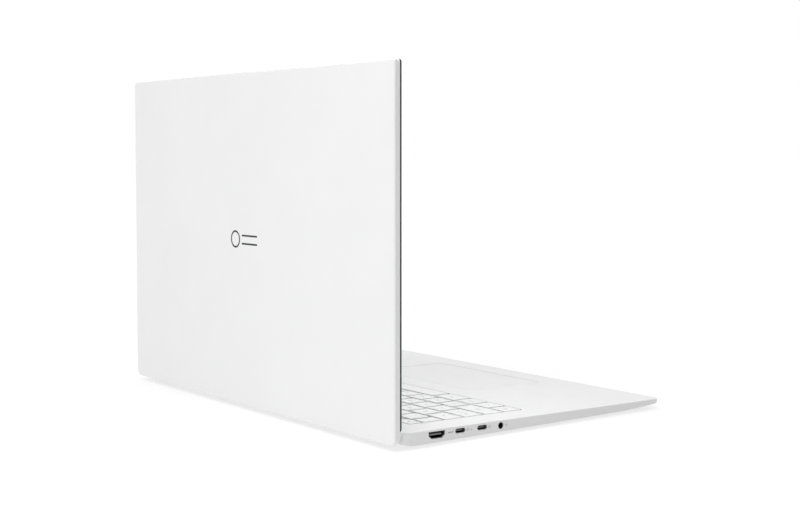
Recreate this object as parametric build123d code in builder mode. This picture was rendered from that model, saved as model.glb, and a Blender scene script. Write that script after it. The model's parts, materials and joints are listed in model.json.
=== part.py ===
from build123d import *
from math import atan2, cos, degrees, radians, sin, sqrt
import os

os.makedirs("parts", exist_ok=True)

# Frame: X to the user's right, Y away from the user, Z up, desk top at Z = 0.
# The origin is under the middle of the opened computer.

# Overall sizes, millimetres and degrees
WIDTH = 380.2  # both halves, side to side
DEPTH = 260.1  # each half, front to back
DECK_TILT = 1.0  # the deck falls this much towards the user
DECK_Y = -2.4  # middle of the deck, along Y
DECK_Z = 9.68  # middle of the deck, above the desk
SIDE_X = WIDTH / 2
FRONT = -DEPTH / 2  # front edge, along the deck
CORNER_R = 8.0  # corners of the base seen from above
DECK_EDGE_R = 0.5

# Base shell
DECK_THICK = 1.2
WALL = 1.5
WALL_FOOT = 2.4  # lower edge of the side walls above the desk
LEDGE = 4.6  # the ledge that the bottom cover is fastened against, in from the side
LEDGE_TOP = 3.0  # above the desk
LEDGE_FRONT = -90.0
PAN_THICK = 1.2  # bottom cover
PAN_INSET = 3.1  # bottom cover inside the side walls
BOSS_R = 2.2
SCREW_R = 0.9
SCREW_HEAD_R = 1.7

# Hinge, measured along the deck and down from it
HINGE_BACK = 125.13
HINGE_DROP = 3.65
NOSE_R = 4.4  # rounded rear edge of the base, round the hinge axis
BARREL_R = 3.5  # hinge cover's barrel
TROUGH_R = 3.8  # hollow in the base that the barrel turns in
TROUGH_HALF = 148.0  # half the trough's length
BARREL_HALF = 147.5
TROUGH_END_WALL = 1.2
SHAFT_R = 1.6
KNUCKLE_R = 2.9
KNUCKLE_BORE_R = 1.65
KNUCKLE_X = (121.0, 146.5)  # span of a knuckle, from the middle

# Lid, measured from the hinge axis: "out" is away from the display, "up" is along the lid
LID_OUT = 9.65  # outer face
LID_BOTTOM = -4.9
LID_TOP = LID_BOTTOM + DEPTH
SHELL_RIM = 5.3  # inner rim of the back cover
SHELL_SKIN = 1.0
SHELL_WALL = 1.3
RAIL_IN = 3.95  # inner face of the rail beside the hinge
RAIL_TOP = 4.3
GROOVE_R = 5.3  # hollow in the rail that clears the base's rear edge
LID_EDGE_R = 1.2
LID_LOW_CORNER_R = 5.5
LID_TOP_CORNER_R = 2.5
BEZEL_FACE = 4.35
GASKET_FACE = 3.75
SCREEN_HALF = 183.15  # half the width of the lit area
SCREEN_LOW = 16.8
SCREEN_HIGH = 245.7

# Keyboard, measured on the deck from its middle
KEY_LEFT = -167.0
KEY_PITCH = 19.0
KEY_GAP = 2.6
ROW_FRONT = -3.8
FUNCTION_ROW_DEPTH = 13.0
PAD_LEFT = 101.0  # left edge of the number pad
PAD_PITCH = 16.5
KEY_TOP = 0.1  # above the deck
KEY_HEIGHT = 2.0
KEY_TRAVEL = 1.4
KEY_R = 1.3
KEY_TAPER = 7
WELL_MARGIN = 1.1
WEB_TOP = -DECK_THICK
WEB_THICK = 0.8
WEB_FLANGE = 1.6
HOLE_CLEARANCE = 0.35
PLATE_TOP = -4.0
PLATE_THICK = 0.4
PLATE_POST_R = 0.8
PLATE_POST_X = (-150.0, -60.0, 30.0, 93.0)

# Touchpad on the deck
PAD_WIDTH = 131.0
PAD_DEPTH = 77.4
PAD_X = -11.9
PAD_Y = -65.6
PAD_R = 3.0
PAD_TOP = -0.03
PAD_THICK = 1.4
PAD_GAP = 0.5

tilt = radians(DECK_TILT)
DECK = Plane(origin=(0, DECK_Y, DECK_Z), x_dir=(1, 0, 0), z_dir=(0, -sin(tilt), cos(tilt)))
# Section along the deck: local x runs to the rear along the deck, local y up from it
SIDE = Plane(origin=(0, DECK_Y, DECK_Z), x_dir=(0, cos(tilt), sin(tilt)), z_dir=(1, 0, 0))
hinge_point = SIDE.from_local_coords(Vector(HINGE_BACK, -HINGE_DROP, 0))
AXIS_Y = hinge_point.Y
AXIS_Z = hinge_point.Z
# Section through the lid: local x is "out", local y is "up"
LID_SECTION = Plane(origin=(0, AXIS_Y, AXIS_Z), x_dir=(0, 1, 0), z_dir=(1, 0, 0))


def save(builder, name):
    builder.part.label = name
    export_step(builder.part, f"parts/{name}.step")


def above_desk(along, height):
    """Height on the SIDE section of a point at a given height above the desk."""
    return (height - DECK_Z - along * sin(tilt)) / cos(tilt)


def deck_height(y):
    """Height of the deck above the desk at a distance from the origin."""
    return DECK_Z + (y - DECK_Y) * sin(tilt) / cos(tilt)


def lid_plane(out):
    """Plane parallel to the lid. A positive extrusion goes towards the display side."""
    return Plane(origin=(0, AXIS_Y + out, AXIS_Z), x_dir=(1, 0, 0), z_dir=(0, -1, 0))


# Outline of the base's underside, from the rear nose to the front nose
NOSE_END_ANGLE = -75.0
REAR_FLAT = 113.0
FRONT_FLAT = -84.0
nose_top = (HINGE_BACK + sqrt(NOSE_R**2 - HINGE_DROP**2), 0)
nose_start_angle = degrees(atan2(HINGE_DROP, nose_top[0] - HINGE_BACK))
nose_end = (
    HINGE_BACK + NOSE_R * cos(radians(NOSE_END_ANGLE)),
    -HINGE_DROP + NOSE_R * sin(radians(NOSE_END_ANGLE)),
)
rear_flat = (REAR_FLAT, above_desk(REAR_FLAT, WALL_FOOT))
front_flat = (FRONT_FLAT, above_desk(FRONT_FLAT, WALL_FOOT))
front_mid = (-107.0, -4.7)
front_low = (-127.0, -3.15)
nose_direction = (sin(radians(NOSE_END_ANGLE)), -cos(radians(NOSE_END_ANGLE)))
desk_direction = (-cos(tilt), sin(tilt))


def underside(lower=0.0):
    """Draws the underside in a BuildLine, moved down by lower."""
    points = [nose_end, rear_flat, front_flat, front_mid, front_low]
    rear, back, fore, middle, low = [(y, z - lower) for y, z in points]
    Spline(rear, back, tangents=[nose_direction, desk_direction])
    Line(back, fore)
    Spline(fore, middle, low, tangents=[desk_direction, (-1, 0.08)])


# ---------------------------------------------------------------- keyboard layout
# A key is (left, right, front, rear) on the deck, gaps included.


def row_of(left, widths, front, rear):
    keys = []
    for width in widths:
        keys.append((left, left + width, front, rear))
        left += width
    return keys


rows = [ROW_FRONT + KEY_PITCH * n for n in range(6)]
function_rear = rows[5] + FUNCTION_ROW_DEPTH
MAIN_WIDTH = 14 * KEY_PITCH
main_right = KEY_LEFT + MAIN_WIDTH
GRAVE = 15.0
TAB = 24.5
CAPS = 28.6
SHIFT = 38.1
half_pitch = KEY_PITCH / 2
SPACE_LEFT = -82.0
SPACE_RIGHT = 14.0
ARROW = (main_right - 52.0) / 3

layout = {}
layout["function_keys"] = row_of(KEY_LEFT, [KEY_PITCH] * 14, rows[5], function_rear)
layout["function_keys"] += row_of(PAD_LEFT, [PAD_PITCH] * 3, rows[5], function_rear)
layout["number_row_keys"] = row_of(KEY_LEFT, [GRAVE] + [KEY_PITCH] * 12, rows[4], rows[5])
layout["backspace_key"] = row_of(
    KEY_LEFT + GRAVE + 12 * KEY_PITCH, [2 * KEY_PITCH - GRAVE], rows[4], rows[5]
)
layout["upper_letter_keys"] = row_of(
    KEY_LEFT, [TAB] + [KEY_PITCH] * 12 + [2 * KEY_PITCH - TAB], rows[3], rows[4]
)
layout["caps_lock_key"] = row_of(KEY_LEFT, [CAPS], rows[2], rows[3])
layout["home_letter_keys"] = row_of(KEY_LEFT + CAPS, [KEY_PITCH] * 11, rows[2], rows[3])
layout["enter_key"] = row_of(
    KEY_LEFT + CAPS + 11 * KEY_PITCH, [3 * KEY_PITCH - CAPS], rows[2], rows[3]
)
layout["left_shift_key"] = row_of(KEY_LEFT, [SHIFT], rows[1], rows[2])
layout["lower_letter_keys"] = row_of(
    KEY_LEFT + SHIFT, [KEY_PITCH] * 10 + [4 * KEY_PITCH - SHIFT], rows[1], rows[2]
)
layout["control_keys"] = row_of(KEY_LEFT, [19.0, 20.0, 20.0, 26.0], rows[0], rows[1])
layout["control_keys"] += row_of(SPACE_RIGHT, [KEY_PITCH, KEY_PITCH], rows[0], rows[1])
layout["space_bar"] = row_of(SPACE_LEFT, [SPACE_RIGHT - SPACE_LEFT], rows[0], rows[1])
half_row = rows[0] + half_pitch
layout["arrow_keys"] = row_of(52.0, [ARROW], rows[0], rows[1])
layout["arrow_keys"] += row_of(52.0 + ARROW, [ARROW], rows[0], half_row)
layout["arrow_keys"] += row_of(52.0 + ARROW, [ARROW], half_row, rows[1])
layout["arrow_keys"] += row_of(52.0 + 2 * ARROW, [ARROW], rows[0], rows[1])
layout["number_pad_keys"] = row_of(PAD_LEFT, [PAD_PITCH] * 4, rows[4], rows[5])
layout["number_pad_keys"] += row_of(PAD_LEFT, [PAD_PITCH] * 3, rows[3], rows[4])
layout["number_pad_keys"] += row_of(PAD_LEFT, [PAD_PITCH] * 3, rows[2], rows[3])
layout["number_pad_keys"] += row_of(PAD_LEFT, [PAD_PITCH] * 3, rows[1], rows[2])
layout["number_pad_keys"] += row_of(PAD_LEFT, [2 * PAD_PITCH, PAD_PITCH], rows[0], rows[1])
layout["number_pad_keys"] += row_of(PAD_LEFT + 3 * PAD_PITCH, [PAD_PITCH], rows[2], rows[4])
layout["number_pad_keys"] += row_of(PAD_LEFT + 3 * PAD_PITCH, [PAD_PITCH], rows[0], rows[2])
power_key = row_of(PAD_LEFT + 3 * PAD_PITCH, [PAD_PITCH], rows[5], function_rear)
all_keys = [key for keys in layout.values() for key in keys] + power_key

keyboard_right = PAD_LEFT + 4 * PAD_PITCH
well_width = keyboard_right - KEY_LEFT + 2 * WELL_MARGIN - KEY_GAP
well_depth = function_rear - ROW_FRONT + 2 * WELL_MARGIN - KEY_GAP
well_x = (keyboard_right + KEY_LEFT) / 2
well_y = (function_rear + ROW_FRONT) / 2


def key_caps(keys, name):
    """One solid cap for each key, tapered towards its top."""
    with BuildPart() as caps:
        with BuildSketch(DECK.offset(KEY_TOP - KEY_HEIGHT)):
            for left, right, front, rear in keys:
                with Locations(((left + right) / 2, (front + rear) / 2)):
                    RectangleRounded(right - left - KEY_GAP, rear - front - KEY_GAP, KEY_R)
        extrude(amount=KEY_HEIGHT, taper=KEY_TAPER)
    save(caps, name)


for key_name, key_list in layout.items():
    key_caps(key_list, key_name)
key_caps(power_key, "power_button")

with BuildPart() as keyboard_frame:
    with BuildSketch(DECK.offset(WEB_TOP - WEB_THICK)):
        with Locations((well_x, well_y)):
            RectangleRounded(well_width + 2 * WEB_FLANGE, well_depth + 2 * WEB_FLANGE, 3)
        for left, right, front, rear in all_keys:
            with Locations(((left + right) / 2, (front + rear) / 2)):
                RectangleRounded(
                    right - left - KEY_GAP + 2 * HOLE_CLEARANCE,
                    rear - front - KEY_GAP + 2 * HOLE_CLEARANCE,
                    KEY_R + HOLE_CLEARANCE,
                    mode=Mode.SUBTRACT,
                )
    extrude(amount=WEB_THICK)
save(keyboard_frame, "keyboard_frame")

plate_posts = [(x, y) for x in PLATE_POST_X for y in (rows[1], rows[4])]
with BuildPart() as keyboard_base_plate:
    with BuildSketch(DECK.offset(PLATE_TOP - PLATE_THICK)):
        with Locations((well_x, well_y)):
            RectangleRounded(well_width, well_depth, 2)
    extrude(amount=PLATE_THICK)
    # Posts in the gaps between key rows
    with BuildSketch(DECK.offset(PLATE_TOP)):
        with Locations(*plate_posts):
            Circle(PLATE_POST_R)
    extrude(amount=WEB_TOP - WEB_THICK - PLATE_TOP)
save(keyboard_base_plate, "keyboard_base_plate")

SHEET_THICK = 0.2
DOME_GAP = 0.15  # over a dome when its key is pressed
DOME_R = 2.6
DOME_HEIGHT = KEY_TOP - KEY_HEIGHT - KEY_TRAVEL - DOME_GAP - PLATE_TOP - SHEET_THICK
with BuildPart() as dome_sheet:
    with BuildSketch(DECK.offset(PLATE_TOP)):
        with Locations((well_x, well_y)):
            Rectangle(well_width - 9, well_depth - 3)
        with Locations(*plate_posts):
            Circle(PLATE_POST_R + HOLE_CLEARANCE, mode=Mode.SUBTRACT)
    extrude(amount=SHEET_THICK)
    with BuildSketch(DECK.offset(PLATE_TOP + SHEET_THICK)):
        for left, right, front, rear in all_keys:
            with Locations(((left + right) / 2, (front + rear) / 2)):
                Circle(DOME_R)
    extrude(amount=DOME_HEIGHT, taper=45)
save(dome_sheet, "dome_sheet")

# ---------------------------------------------------------------- ports
# A port is (along the deck, height from it) at its middle, on the left or right side.
RECESS = 0.3
SHELL = 0.3
HDMI_AT = (98.5, -3.9)
HDMI_SIZE = (14.4, 5.0)
USB_C_AT = {"usb_c_port_rear": (77.45, -3.2), "usb_c_port_front": (57.25, -3.2)}
USB_C_SIZE = (9.0, 3.3)
LIGHT_AT = (67.2, -3.5)
LIGHT_R = 0.4
JACK_AT = (39.7, -3.7)
JACK_RING_R = 2.4
JACK_BORE_R = 1.8
JACK_DEPTH = 14.0
USB_A_AT = {"usb_a_port_rear": (74.0, -4.5), "usb_a_port_front": (52.0, -4.5)}
USB_A_SIZE = (13.1, 5.7)
CARD_AT = (93.0, -3.0)
CARD_SIZE = (12.0, 1.9)
LOCK_AT = (108.0, -3.7)
LOCK_SIZE = (7.0, 3.0)
LOCK_PLATE = (11.0, 4.8, 1.2)
FIT = 0.1  # gap round a port in its cut-out


def port_face(size, grow, corner):
    """Rounded outline of a port, larger by grow all round."""
    RectangleRounded(size[0] + 2 * grow, size[1] + 2 * grow, corner + grow)


HDMI_CUT = (2.6, 2.1)  # along and up each lower corner


def hdmi_face(grow):
    """Outline with its two lower corners cut off at an angle."""
    half = HDMI_SIZE[0] / 2 + grow
    top = HDMI_SIZE[1] / 2 + grow
    along, up = HDMI_CUT
    Polygon((-half, top), (half, top), (half, up - top), (half - along, -top), (along - half, -top),
            (-half, up - top), align=None)


def side_plane(x):
    return SIDE.offset(x)


POST_SPOTS = [
    (-182, -112), (182, -112), (-182, -16), (182, -16), (-182, 18), (182, 18),
    (-138, 110), (138, 110), (40, 110), (90, -112),
]
FRONT_POST_LIFT = 1.35  # the underside rises towards the front edge


def post_foot(y):
    """Height above the desk where a screw post meets the bottom cover."""
    return WALL_FOOT + 0.05 + (FRONT_POST_LIFT if y < -100 else 0)


# ---------------------------------------------------------------- top case
VENT_COUNT = 19
VENT_PITCH = 5.2
VENT_X = -80.0
CAVITY_FRONT = -121.0
CAVITY_REAR = 119.9
BELOW = -20.0  # well under the whole base
ABOVE = 5.0  # well over the deck
LIP_ANGLE = -47.0  # the lip under the barrel ends here

with BuildPart() as top_case:
    with BuildSketch(DECK.offset(BELOW)):
        RectangleRounded(WIDTH, DEPTH, CORNER_R)
    extrude(amount=-BELOW)
    deck_face = top_case.faces().filter_by(lambda f: f.normal_at().dot(DECK.z_dir) > 0.99999)
    fillet(deck_face.sort_by(SortBy.AREA)[-1].edges(), DECK_EDGE_R)
    with BuildSketch(SIDE):
        with BuildLine():
            Polyline(nose_top, (nose_top[0], ABOVE), (FRONT - 5, ABOVE), (FRONT - 5, -1.2), (FRONT, -1.2))
            ThreePointArc((FRONT, -1.2), (FRONT + 0.8, -2.5), front_low)
            underside()
            CenterArc((HINGE_BACK, -HINGE_DROP), NOSE_R, NOSE_END_ANGLE,
                      nose_start_angle - NOSE_END_ANGLE)
        make_face()
    extrude(amount=SIDE_X + 5, both=True, mode=Mode.INTERSECT)

    # Hollow inside, open below, with a ledge along each side for the bottom cover
    with BuildSketch(SIDE):
        with BuildLine():
            Polyline((CAVITY_FRONT, -DECK_THICK), (CAVITY_REAR, -DECK_THICK), (CAVITY_REAR, BELOW),
                     (CAVITY_FRONT, BELOW), close=True)
        make_face()
    extrude(amount=SIDE_X - LEDGE, both=True, mode=Mode.SUBTRACT)
    with BuildSketch(SIDE):
        with BuildLine():
            Polyline((LEDGE_FRONT, -DECK_THICK), (CAVITY_REAR, -DECK_THICK),
                     (CAVITY_REAR, above_desk(CAVITY_REAR, LEDGE_TOP)),
                     (LEDGE_FRONT, above_desk(LEDGE_FRONT, LEDGE_TOP)), close=True)
        make_face()
    extrude(amount=SIDE_X - WALL, both=True, mode=Mode.SUBTRACT)

    # Trough for the hinge barrel, with a lip below it
    with BuildSketch(SIDE):
        with Locations((HINGE_BACK, -HINGE_DROP)):
            Circle(TROUGH_R)
            Rectangle(TROUGH_R + 20, 20, align=(Align.MIN, Align.MIN))
            Rectangle(TROUGH_R, 20, align=(Align.MAX, Align.MIN))
            Polygon((0, 0), (20, 0), (20, 20 * sin(radians(LIP_ANGLE)) / cos(radians(LIP_ANGLE))),
                    align=None)
    extrude(amount=TROUGH_HALF, both=True, mode=Mode.SUBTRACT)

    # Pockets and holes for the hinge arms and shafts
    for side in (-1, 1):
        pocket_x = side * (TROUGH_HALF + TROUGH_END_WALL)
        with BuildSketch(side_plane(pocket_x)):
            with Locations((HINGE_BACK, -HINGE_DROP)):
                Circle(NOSE_R - 1.2)
            with Locations((CAVITY_REAR - 1, -HINGE_DROP)):
                Rectangle(HINGE_BACK - CAVITY_REAR + 1, 2 * (HINGE_DROP - DECK_THICK),
                          align=(Align.MIN, Align.CENTER))
        extrude(amount=side * 26, mode=Mode.SUBTRACT)
        with BuildSketch(side_plane(side * (TROUGH_HALF - 1))):
            with Locations((HINGE_BACK, -HINGE_DROP)):
                Circle(SHAFT_R + 0.3)
        extrude(amount=side * 3, mode=Mode.SUBTRACT)

    # Exhaust slots in the wall between the fins and the barrel
    with BuildSketch(Plane(origin=SIDE.origin, x_dir=(-1, 0, 0), z_dir=SIDE.x_dir)
                     .offset(CAVITY_REAR - 1)):
        with Locations((-VENT_X, -4.2)):
            with GridLocations(VENT_PITCH, 1, VENT_COUNT, 1):
                RectangleRounded(3.2, 3.4, 0.6)
    extrude(amount=5, mode=Mode.SUBTRACT)

    # Openings in the deck
    with BuildSketch(DECK.offset(-5)):
        with Locations((well_x, well_y)):
            RectangleRounded(well_width, well_depth, 2)
        with Locations((PAD_X, PAD_Y)):
            RectangleRounded(PAD_WIDTH + 2 * PAD_GAP, PAD_DEPTH + 2 * PAD_GAP, PAD_R + PAD_GAP)
    extrude(amount=10, mode=Mode.SUBTRACT)

    # Port openings, left side then right side
    with BuildSketch(side_plane(-SIDE_X - 1)):
        with Locations(HDMI_AT):
            hdmi_face(FIT)
        for spot in USB_C_AT.values():
            with Locations(spot):
                port_face(USB_C_SIZE, FIT, 1.5)
        with Locations(LIGHT_AT):
            Circle(LIGHT_R)
        with Locations(JACK_AT):
            Circle(JACK_RING_R + FIT)
    extrude(amount=WALL + 2, mode=Mode.SUBTRACT)
    with BuildSketch(side_plane(SIDE_X + 1)):
        for spot in USB_A_AT.values():
            with Locations(spot):
                port_face(USB_A_SIZE, FIT, 0.5)
        with Locations(CARD_AT):
            port_face(CARD_SIZE, FIT, 0.5)
        with Locations(LOCK_AT):
            port_face(LOCK_SIZE, 0, 1.0)
    extrude(amount=-WALL - 2, mode=Mode.SUBTRACT)

    # Screw posts
    for x, y in POST_SPOTS:
        with BuildSketch(Plane.XY.offset(post_foot(y))):
            with Locations((x, y)):
                Circle(BOSS_R)
                Circle(SCREW_R + 0.1, mode=Mode.SUBTRACT)
        extrude(amount=deck_height(y) - DECK_THICK / 2 - post_foot(y))
save(top_case, "top_case")

# ---------------------------------------------------------------- bottom cover, feet and screws
PAN_REAR = 121.4
PAN_FRONT = -122.6
PAN_R = 6.0
PAN_EDGE_R = 0.9
FOOT_SPOTS = [(-118, 104, 64), (118, 104, 64), (-140, -76, 44), (140, -76, 44)]
FOOT_DEPTH = 8.0
FOOT_HEIGHT = WALL_FOOT - PAN_THICK
HEAD_SEAT = 0.6  # metal left between a screw head and its post
INTAKE_X = -80.0
INTAKE_Y = 74.0
SPEAKER_X = 165.5
SPEAKER_Y = -46.0

with BuildPart() as bottom_cover:
    with BuildSketch(Plane.XY.offset(-5)):
        with Locations((0, DECK_Y + (PAN_REAR + PAN_FRONT) / 2)):
            RectangleRounded(WIDTH - 2 * PAN_INSET, PAN_REAR - PAN_FRONT, PAN_R)
    extrude(amount=20)
    with BuildSketch(SIDE):
        with BuildLine():
            underside()
            underside(lower=PAN_THICK)
            Line(nose_end, (nose_end[0], nose_end[1] - PAN_THICK))
            Line(front_low, (front_low[0], front_low[1] - PAN_THICK))
        make_face()
    extrude(amount=SIDE_X, both=True, mode=Mode.INTERSECT)
    lowest = bottom_cover.faces().filter_by(lambda f: f.normal_at().Z < -0.99999).sort_by(SortBy.AREA)
    side_edges = lowest[-1].edges().filter_by(Axis.Y)
    fillet(side_edges, PAN_EDGE_R)
    with BuildSketch(Plane.XY.offset(-5)):
        with Locations((INTAKE_X, INTAKE_Y)):
            with GridLocations(4.4, 15, 13, 2):
                SlotOverall(12, 2.0, rotation=90)
        for side in (-1, 1):
            with Locations((side * SPEAKER_X, SPEAKER_Y)):
                with GridLocations(1, 4.0, 1, 10):
                    SlotOverall(20, 1.6)
        with Locations(*POST_SPOTS):
            Circle(SCREW_R + 0.15)
    extrude(amount=20, mode=Mode.SUBTRACT)
    for x, y in POST_SPOTS:
        with BuildSketch(Plane.XY.offset(-1)):
            with Locations((x, y)):
                Circle(SCREW_HEAD_R + 0.15)
        extrude(amount=1 + post_foot(y) - HEAD_SEAT, mode=Mode.SUBTRACT)
save(bottom_cover, "bottom_cover")

with BuildPart() as rubber_feet:
    for x, y, length in FOOT_SPOTS:
        with BuildSketch(Plane.XY):
            with Locations((x, y)):
                SlotOverall(length, FOOT_DEPTH)
        extrude(amount=FOOT_HEIGHT, taper=8)
save(rubber_feet, "rubber_feet")

with BuildPart() as bottom_screws:
    for x, y in POST_SPOTS:
        head_top = post_foot(y) - HEAD_SEAT
        with BuildSketch(Plane.XY.offset(head_top - 0.5)):
            with Locations((x, y)):
                Circle(SCREW_HEAD_R)
                RegularPolygon(0.7, 6, mode=Mode.SUBTRACT)
        extrude(amount=0.5)
        with BuildSketch(Plane.XY.offset(head_top)):
            with Locations((x, y)):
                Circle(SCREW_R)
        extrude(amount=3.0)
save(bottom_screws, "bottom_screws")

# ---------------------------------------------------------------- touchpad
with BuildPart() as touchpad:
    with BuildSketch(DECK.offset(PAD_TOP - PAD_THICK)):
        with Locations((PAD_X, PAD_Y)):
            RectangleRounded(PAD_WIDTH, PAD_DEPTH, PAD_R)
    extrude(amount=PAD_THICK)
    fillet(touchpad.faces().sort_by(Axis.Z)[-1].edges(), 0.25)
save(touchpad, "touchpad")

TRAY_RIM = 4.0
TRAY_BOTTOM = -2.4
TRAY_THICK = 0.35
with BuildPart() as touchpad_bracket:
    with BuildSketch(DECK.offset(TRAY_BOTTOM)):
        with Locations((PAD_X, PAD_Y)):
            RectangleRounded(PAD_WIDTH + 2 * TRAY_RIM, PAD_DEPTH + 2 * TRAY_RIM, 3)
    extrude(amount=-DECK_THICK - TRAY_BOTTOM)
    with BuildSketch(DECK.offset(TRAY_BOTTOM + TRAY_THICK)):
        with Locations((PAD_X, PAD_Y)):
            RectangleRounded(PAD_WIDTH + 2 * PAD_GAP, PAD_DEPTH + 2 * PAD_GAP, 3)
    extrude(amount=5, mode=Mode.SUBTRACT)
    with BuildSketch(DECK.offset(TRAY_BOTTOM - 1)):
        with Locations((PAD_X, PAD_Y)):
            RectangleRounded(PAD_WIDTH - 24, PAD_DEPTH - 30, 3)
    extrude(amount=3, mode=Mode.SUBTRACT)
save(touchpad_bracket, "touchpad_bracket")

# ---------------------------------------------------------------- ports
PORT_DEPTH = {"hdmi": 11.0, "usb_c": 7.6, "usb_a": 14.0, "card": 14.0}


def socket(name, side, outline, depth, tongue):
    """Metal shell with a closed back and a tongue. outline(grow) draws its face."""
    mouth = side * (SIDE_X - RECESS)
    with BuildPart() as shell:
        with BuildSketch(side_plane(mouth)):
            outline(0)
        extrude(amount=-side * depth)
        with BuildSketch(side_plane(mouth)):
            outline(-SHELL)
        extrude(amount=-side * (depth - 1.0), mode=Mode.SUBTRACT)
        with BuildSketch(side_plane(mouth - side * depth)):
            tongue()
        extrude(amount=side * (depth - 1.4))
    save(shell, name)


def video_tongue():
    with Locations((HDMI_AT[0], HDMI_AT[1] + 0.2)):
        Rectangle(10.6, 1.1)


def video_outline(grow):
    with Locations(HDMI_AT):
        hdmi_face(grow)


socket("video_port", -1, video_outline, PORT_DEPTH["hdmi"], video_tongue)

for port_name, port_spot in USB_C_AT.items():
    def small_outline(grow, spot=port_spot):
        with Locations(spot):
            port_face(USB_C_SIZE, grow, 1.5)

    def small_tongue(spot=port_spot):
        with Locations(spot):
            Rectangle(6.6, 0.7)

    socket(port_name, -1, small_outline, PORT_DEPTH["usb_c"], small_tongue)

for port_name, port_spot in USB_A_AT.items():
    def large_outline(grow, spot=port_spot):
        with Locations(spot):
            port_face(USB_A_SIZE, grow, 0.5)

    def large_tongue(spot=port_spot):
        with Locations((spot[0], spot[1] + 1.1)):
            Rectangle(11.6, 1.8)

    socket(port_name, 1, large_outline, PORT_DEPTH["usb_a"], large_tongue)

with BuildPart() as card_reader:
    with BuildSketch(side_plane(SIDE_X - RECESS)):
        with Locations(CARD_AT):
            port_face(CARD_SIZE, 0, 0.5)
    extrude(amount=-PORT_DEPTH["card"])
    with BuildSketch(side_plane(SIDE_X - RECESS)):
        with Locations(CARD_AT):
            port_face(CARD_SIZE, -0.4, 0.5)
    extrude(amount=1 - PORT_DEPTH["card"], mode=Mode.SUBTRACT)
save(card_reader, "card_reader")

with BuildPart() as audio_jack:
    with BuildSketch(side_plane(-SIDE_X + RECESS)):
        with Locations(JACK_AT):
            Circle(JACK_RING_R)
    extrude(amount=3)
    with BuildSketch(side_plane(-SIDE_X + WALL + FIT)):
        with Locations(JACK_AT):
            Rectangle(6.4, 4.5)
    extrude(amount=JACK_DEPTH)
    with BuildSketch(side_plane(-SIDE_X)):
        with Locations(JACK_AT):
            Circle(JACK_BORE_R)
    extrude(amount=RECESS + JACK_DEPTH, mode=Mode.SUBTRACT)
save(audio_jack, "audio_jack")

with BuildPart() as status_light:
    with BuildSketch(side_plane(-SIDE_X + 0.05)):
        with Locations(LIGHT_AT):
            Circle(LIGHT_R - 0.05)
    extrude(amount=WALL + 1)
save(status_light, "status_light")

with BuildPart() as lock_slot:
    with BuildSketch(side_plane(SIDE_X - WALL - FIT)):
        with Locations(LOCK_AT):
            RectangleRounded(LOCK_PLATE[0], LOCK_PLATE[1], 1)
            RectangleRounded(LOCK_SIZE[0], LOCK_SIZE[1], 1, mode=Mode.SUBTRACT)
    extrude(amount=-LOCK_PLATE[2])
save(lock_slot, "lock_slot")

# ---------------------------------------------------------------- hinges
ARM_X = (150.0, 154.0)
PLATE_X = (150.0, 172.0)
HINGE_PLATE_Y = (107.0, 118.5)  # along the deck
HINGE_PLATE_THICK = 1.2
ARM_HEIGHT = 4.4
LEAF_OUT = 7.6
LEAF_THICK = 0.7
LEAF_HEIGHT = 44.0
LEAF_ARM = 2.0
LEAF_SCREWS_UP = 30.0
LEAF_SCREWS = (14.0, 18.0)
LEAF_SCREW_R = 1.0

for side, side_name in ((-1, "left"), (1, "right")):
    with BuildPart() as base_hinge:
        with BuildSketch(side_plane(side * ARM_X[0])):
            with Locations((HINGE_BACK, -HINGE_DROP)):
                Circle(KNUCKLE_R - 0.1)
            with Locations((HINGE_PLATE_Y[0], -HINGE_DROP)):
                Rectangle(HINGE_BACK - HINGE_PLATE_Y[0], ARM_HEIGHT, align=(Align.MIN, Align.CENTER))
        extrude(amount=side * (ARM_X[1] - ARM_X[0]))
        with BuildSketch(side_plane(side * PLATE_X[0])):
            with Locations((HINGE_PLATE_Y[0], -HINGE_DROP - ARM_HEIGHT / 2)):
                Rectangle(HINGE_PLATE_Y[1] - HINGE_PLATE_Y[0], HINGE_PLATE_THICK,
                          align=(Align.MIN, Align.MIN))
        extrude(amount=side * (PLATE_X[1] - PLATE_X[0]))
        with BuildSketch(side_plane(side * ARM_X[0])):
            with Locations((HINGE_BACK, -HINGE_DROP)):
                Circle(SHAFT_R)
        extrude(amount=side * (KNUCKLE_X[0] - 1 - ARM_X[0]))
    save(base_hinge, f"base_hinge_{side_name}")

    with BuildPart() as lid_hinge:
        with BuildSketch(LID_SECTION.offset(side * KNUCKLE_X[0])):
            Circle(KNUCKLE_R)
            Rectangle(LEAF_OUT, LEAF_ARM, align=(Align.MIN, Align.MIN))
            with Locations((LEAF_OUT, 0)):
                Rectangle(LEAF_THICK, LEAF_HEIGHT, align=(Align.MIN, Align.MIN))
            Circle(KNUCKLE_BORE_R, mode=Mode.SUBTRACT)
        extrude(amount=side * (KNUCKLE_X[1] - KNUCKLE_X[0]))
        with BuildSketch(lid_plane(LEAF_OUT + LEAF_THICK)):
            with Locations((side * sum(KNUCKLE_X) / 2, LEAF_SCREWS_UP)):
                with GridLocations(*LEAF_SCREWS, 2, 2):
                    Circle(LEAF_SCREW_R + 0.1)
        extrude(amount=LEAF_THICK, mode=Mode.SUBTRACT)
    save(lid_hinge, f"lid_hinge_{side_name}")

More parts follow.
